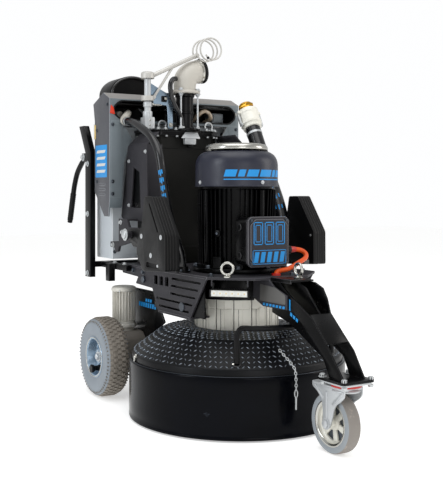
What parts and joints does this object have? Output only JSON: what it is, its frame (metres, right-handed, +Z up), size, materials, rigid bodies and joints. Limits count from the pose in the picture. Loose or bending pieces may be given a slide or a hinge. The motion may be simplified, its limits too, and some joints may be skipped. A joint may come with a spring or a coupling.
{
  "type": "walk-behind concrete grinder",
  "caption": "Walk-behind planetary floor grinder with round dust skirt, vertical motor, swing-up weights, front caster, driven rear wheels and a rear control cabinet.",
  "frame": {"origin": "on the floor under the middle of the machine's bounding box", "axes": "+X forward, the direction of travel; +Y to the operator's left; +Z up"},
  "size_m": [1.6794, 0.834, 1.5166],
  "materials": {
    "skirt_gloss": "gloss black paint",
    "tread_plate": "dark raised-pattern steel plate, satin",
    "cast_aluminium": "rough cast",
    "black_paint": "black satin paint",
    "frame_paint": "dark grey textured powder coat",
    "dark_steel": "oiled dark steel",
    "zinc": "galvanised",
    "motor_paint": "black motor enamel",
    "cowl_paint": "blue-black satin enamel",
    "bright_steel": "bright zinc plate",
    "orange_cable": "orange cable sheath",
    "black_plastic": "moulded black",
    "hood_paint": "grey powder coat",
    "cabinet_paint": "pale grey powder coat",
    "grey_rubber": "non-marking grey tyre",
    "brass": "turned",
    "white_casting": "off-white painted casting",
    "red_plastic": "glossy red"
  },
  "bodies": {
    "chassis": {"dust_skirt": "skirt_gloss", "head_cover": "tread_plate", "head_neck": "cast_aluminium", "head_lift_hoop": "black_paint", "ring_gear": "dark_steel", "reduction_housing": "cast_aluminium", "motor_housing": "motor_paint", "fan_cowl": "cowl_paint", "rain_cap": "bright_steel", "terminal_box": "motor_paint", "terminal_box_lid": "frame_paint", "motor_lead": "orange_cable", "chassis_frame": "frame_paint", "wheel_carriage": "black_paint", "caster_arm": "black_paint", "lifting_eye_frame": "bright_steel", "lifting_eye_arm": "bright_steel", "caster_top_plate": "zinc", "drive_unit_left": "cast_aluminium", "drive_unit_right": "cast_aluminium", "side_bracket_left": "frame_paint", "side_bracket_right": "frame_paint", "dust_tank": "black_paint", "tank_lid": "black_paint", "inlet_column": "dark_steel", "inlet_elbow": "white_casting", "boom_mast": "zinc", "water_pipe": "black_paint", "vacuum_pipe": "black_paint", "camlock_coupling": "cast_aluminium", "hood": "hood_paint", "control_console": "black_plastic", "cabinet_body": "cabinet_paint", "push_frame": "black_paint", "pin_chain": "zinc"},
    "planet_carrier": {"planet_carrier": "dark_steel"},
    "satellite_1": {"satellite_head_1": "zinc"},
    "satellite_2": {"satellite_head_2": "zinc"},
    "satellite_3": {"satellite_head_3": "zinc"},
    "rotor": {"motor_rotor": "dark_steel"},
    "caster_swivel": {"caster_fork": "zinc"},
    "caster_wheel": {"caster_wheel": "grey_rubber"},
    "wheel_left": {"wheel_rim_left": "zinc", "wheel_tyre_left": "grey_rubber"},
    "wheel_right": {"wheel_rim_right": "zinc", "wheel_tyre_right": "grey_rubber"},
    "knob_left": {"freewheel_knob_left": "black_plastic"},
    "knob_right": {"freewheel_knob_right": "black_plastic"},
    "weight_left": {"side_weight_left": "frame_paint"},
    "weight_right": {"side_weight_right": "frame_paint"},
    "boom": {"boom_arm": "bright_steel"},
    "handle_left": {"handle_left": "black_paint"},
    "handle_right": {"handle_right": "black_paint"},
    "lever_left": {"camlock_lever_left": "cast_aluminium"},
    "lever_right": {"camlock_lever_right": "cast_aluminium"},
    "dust_cap": {"camlock_cap": "brass"},
    "stop_button": {"emergency_stop": "red_plastic"},
    "door": {"cabinet_door": "cabinet_paint"},
    "lamp": {"work_light": "black_plastic"}
  },
  "joints": [
    {"name": "carrier_spin", "type": "hinge", "parent": "chassis", "child": "planet_carrier", "pos_m": [0.115, 0, 0.213], "axis": [0, 0, 1], "continuous": true},
    {"name": "satellite_1_spin", "type": "hinge", "parent": "planet_carrier", "child": "satellite_1", "pos_m": [0.35, 0, 0.1], "axis": [0, 0, 1], "continuous": true},
    {"name": "satellite_2_spin", "type": "hinge", "parent": "planet_carrier", "child": "satellite_2", "pos_m": [-0.0025, 0.20352, 0.1], "axis": [0, 0, 1], "continuous": true},
    {"name": "satellite_3_spin", "type": "hinge", "parent": "planet_carrier", "child": "satellite_3", "pos_m": [-0.0025, -0.20352, 0.1], "axis": [0, 0, 1], "continuous": true},
    {"name": "rotor_spin", "type": "hinge", "parent": "chassis", "child": "rotor", "pos_m": [0.115, 0, 0.7], "axis": [0, 0, 1], "continuous": true},
    {"name": "caster_swivel_spin", "type": "hinge", "parent": "chassis", "child": "caster_swivel", "pos_m": [0.774, 0, 0.235], "axis": [0, 0, 1], "continuous": true},
    {"name": "caster_wheel_spin", "type": "hinge", "parent": "caster_swivel", "child": "caster_wheel", "pos_m": [0.719, 0, 0.1], "axis": [0, 1, 0], "continuous": true},
    {"name": "wheel_left_spin", "type": "hinge", "parent": "chassis", "child": "wheel_left", "pos_m": [-0.405, 0.33, 0.165], "axis": [0, 1, 0], "continuous": true},
    {"name": "knob_left_pull", "type": "slide", "parent": "wheel_left", "child": "knob_left", "axis": [0, 1, 0], "range_m": [0, 0.01]},
    {"name": "weight_left_swing", "type": "hinge", "parent": "chassis", "child": "weight_left", "pos_m": [-0.147, 0.324, 0.687], "axis": [0, 1, 0], "range_deg": [-90, 0]},
    {"name": "handle_left_fold", "type": "hinge", "parent": "chassis", "child": "handle_left", "pos_m": [-0.637, 0.3175, 1.01], "axis": [0, 1, 0], "range_deg": [-15, 45]},
    {"name": "lever_left_open", "type": "hinge", "parent": "chassis", "child": "lever_left", "pos_m": [-0.20492, 0.315, 1.19646], "axis": [0.8745, 0, 0.485], "range_deg": [0, 100]},
    {"name": "wheel_right_spin", "type": "hinge", "parent": "chassis", "child": "wheel_right", "pos_m": [-0.405, -0.33, 0.165], "axis": [0, 1, 0], "continuous": true},
    {"name": "knob_right_pull", "type": "slide", "parent": "wheel_right", "child": "knob_right", "axis": [0, -1, 0], "range_m": [0, 0.01]},
    {"name": "weight_right_swing", "type": "hinge", "parent": "chassis", "child": "weight_right", "pos_m": [-0.147, -0.324, 0.687], "axis": [0, 1, 0], "range_deg": [-90, 0]},
    {"name": "handle_right_fold", "type": "hinge", "parent": "chassis", "child": "handle_right", "pos_m": [-0.637, -0.3175, 1.01], "axis": [0, 1, 0], "range_deg": [-15, 45]},
    {"name": "lever_right_open", "type": "hinge", "parent": "chassis", "child": "lever_right", "pos_m": [-0.20492, 0.209, 1.19646], "axis": [0.8745, 0, 0.485], "range_deg": [-100, 0]},
    {"name": "dust_cap_pull", "type": "slide", "parent": "chassis", "child": "dust_cap", "axis": [-0.485, 0, 0.8745], "range_m": [0, 0.06]},
    {"name": "boom_swing", "type": "hinge", "parent": "chassis", "child": "boom", "pos_m": [-0.285, -0.186, 1.34], "axis": [0, 0, 1], "range_deg": [-110, 0]},
    {"name": "stop_button_press", "type": "slide", "parent": "chassis", "child": "stop_button", "axis": [1, 0, 0], "range_m": [0, 0.005], "stiffness_N_per_m": 600},
    {"name": "door_swing", "type": "hinge", "parent": "chassis", "child": "door", "pos_m": [-0.6203, 0.27, 0.86], "axis": [0, 0, 1], "range_deg": [-85, 0]},
    {"name": "lamp_tilt", "type": "hinge", "parent": "chassis", "child": "lamp", "pos_m": [0.34057, -0.1716, 0.526], "axis": [0.6983, 0.7158, 0], "range_deg": [-15, 15]}
  ],
  "couplings": [
    {"joint": "satellite_1_spin", "follows": "carrier_spin", "ratio": -5},
    {"joint": "satellite_2_spin", "follows": "carrier_spin", "ratio": -5},
    {"joint": "satellite_3_spin", "follows": "carrier_spin", "ratio": -5},
    {"joint": "rotor_spin", "follows": "carrier_spin", "ratio": 6}
  ]
}
